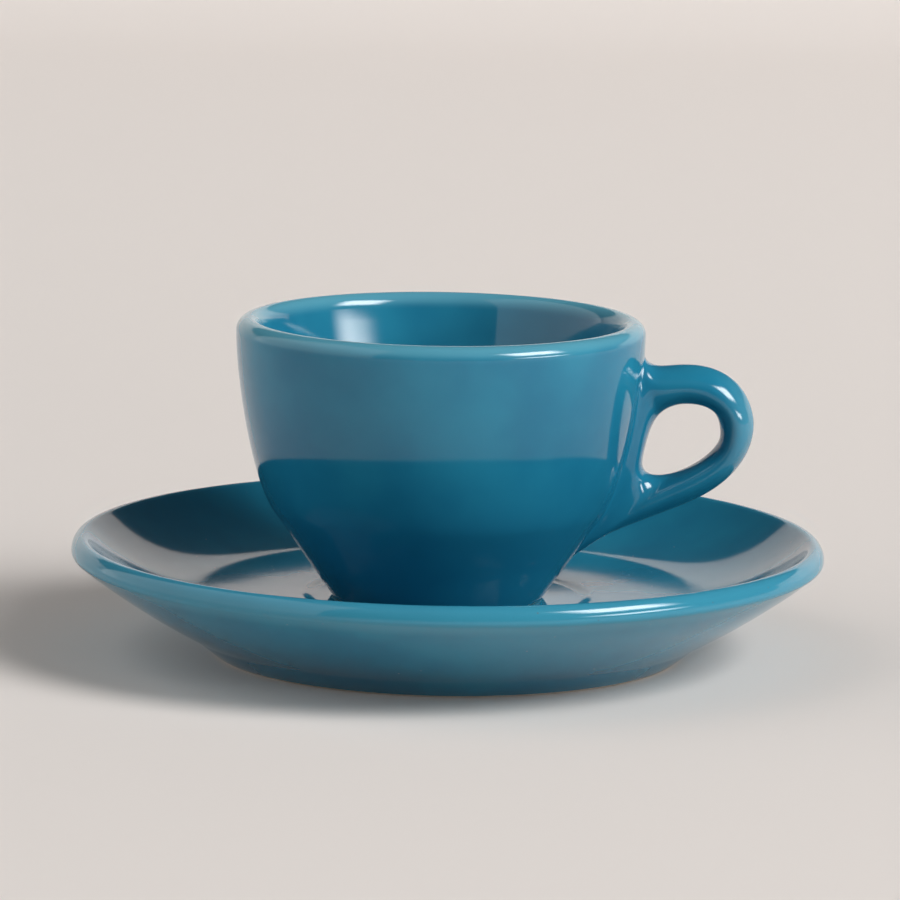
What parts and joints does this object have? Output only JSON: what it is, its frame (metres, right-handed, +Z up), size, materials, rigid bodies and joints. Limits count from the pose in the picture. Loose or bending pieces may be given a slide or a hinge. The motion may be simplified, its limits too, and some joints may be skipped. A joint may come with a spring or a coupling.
{
  "type": "espresso cup and saucer",
  "caption": "Small glazed ceramic cup with a rounded lip, conical base and ring handle, standing in the shallow seat of a matching dished saucer.",
  "frame": {"origin": "centre of the saucer's foot ring, on the plane that the saucer stands on", "axes": "+Z up through the saucer's axis, +X towards the cup's handle, Y across the handle's plane of symmetry"},
  "size_m": [0.12, 0.12, 0.0536],
  "materials": {
    "saucer_glaze": "gloss teal blue glaze, bare clay on the foot ring",
    "cup_glaze": "gloss teal blue glaze, paler where it thins on the lip",
    "handle_glaze": "gloss teal blue glaze"
  },
  "bodies": {
    "saucer": {"saucer": "saucer_glaze"},
    "cup": {"cup_body": "cup_glaze", "cup_handle": "handle_glaze"}
  },
  "joints": [
    {"name": "cup_lift", "type": "slide", "parent": "saucer", "child": "cup", "axis": [0, 0, 1], "range_m": [0, 0.06]}
  ]
}
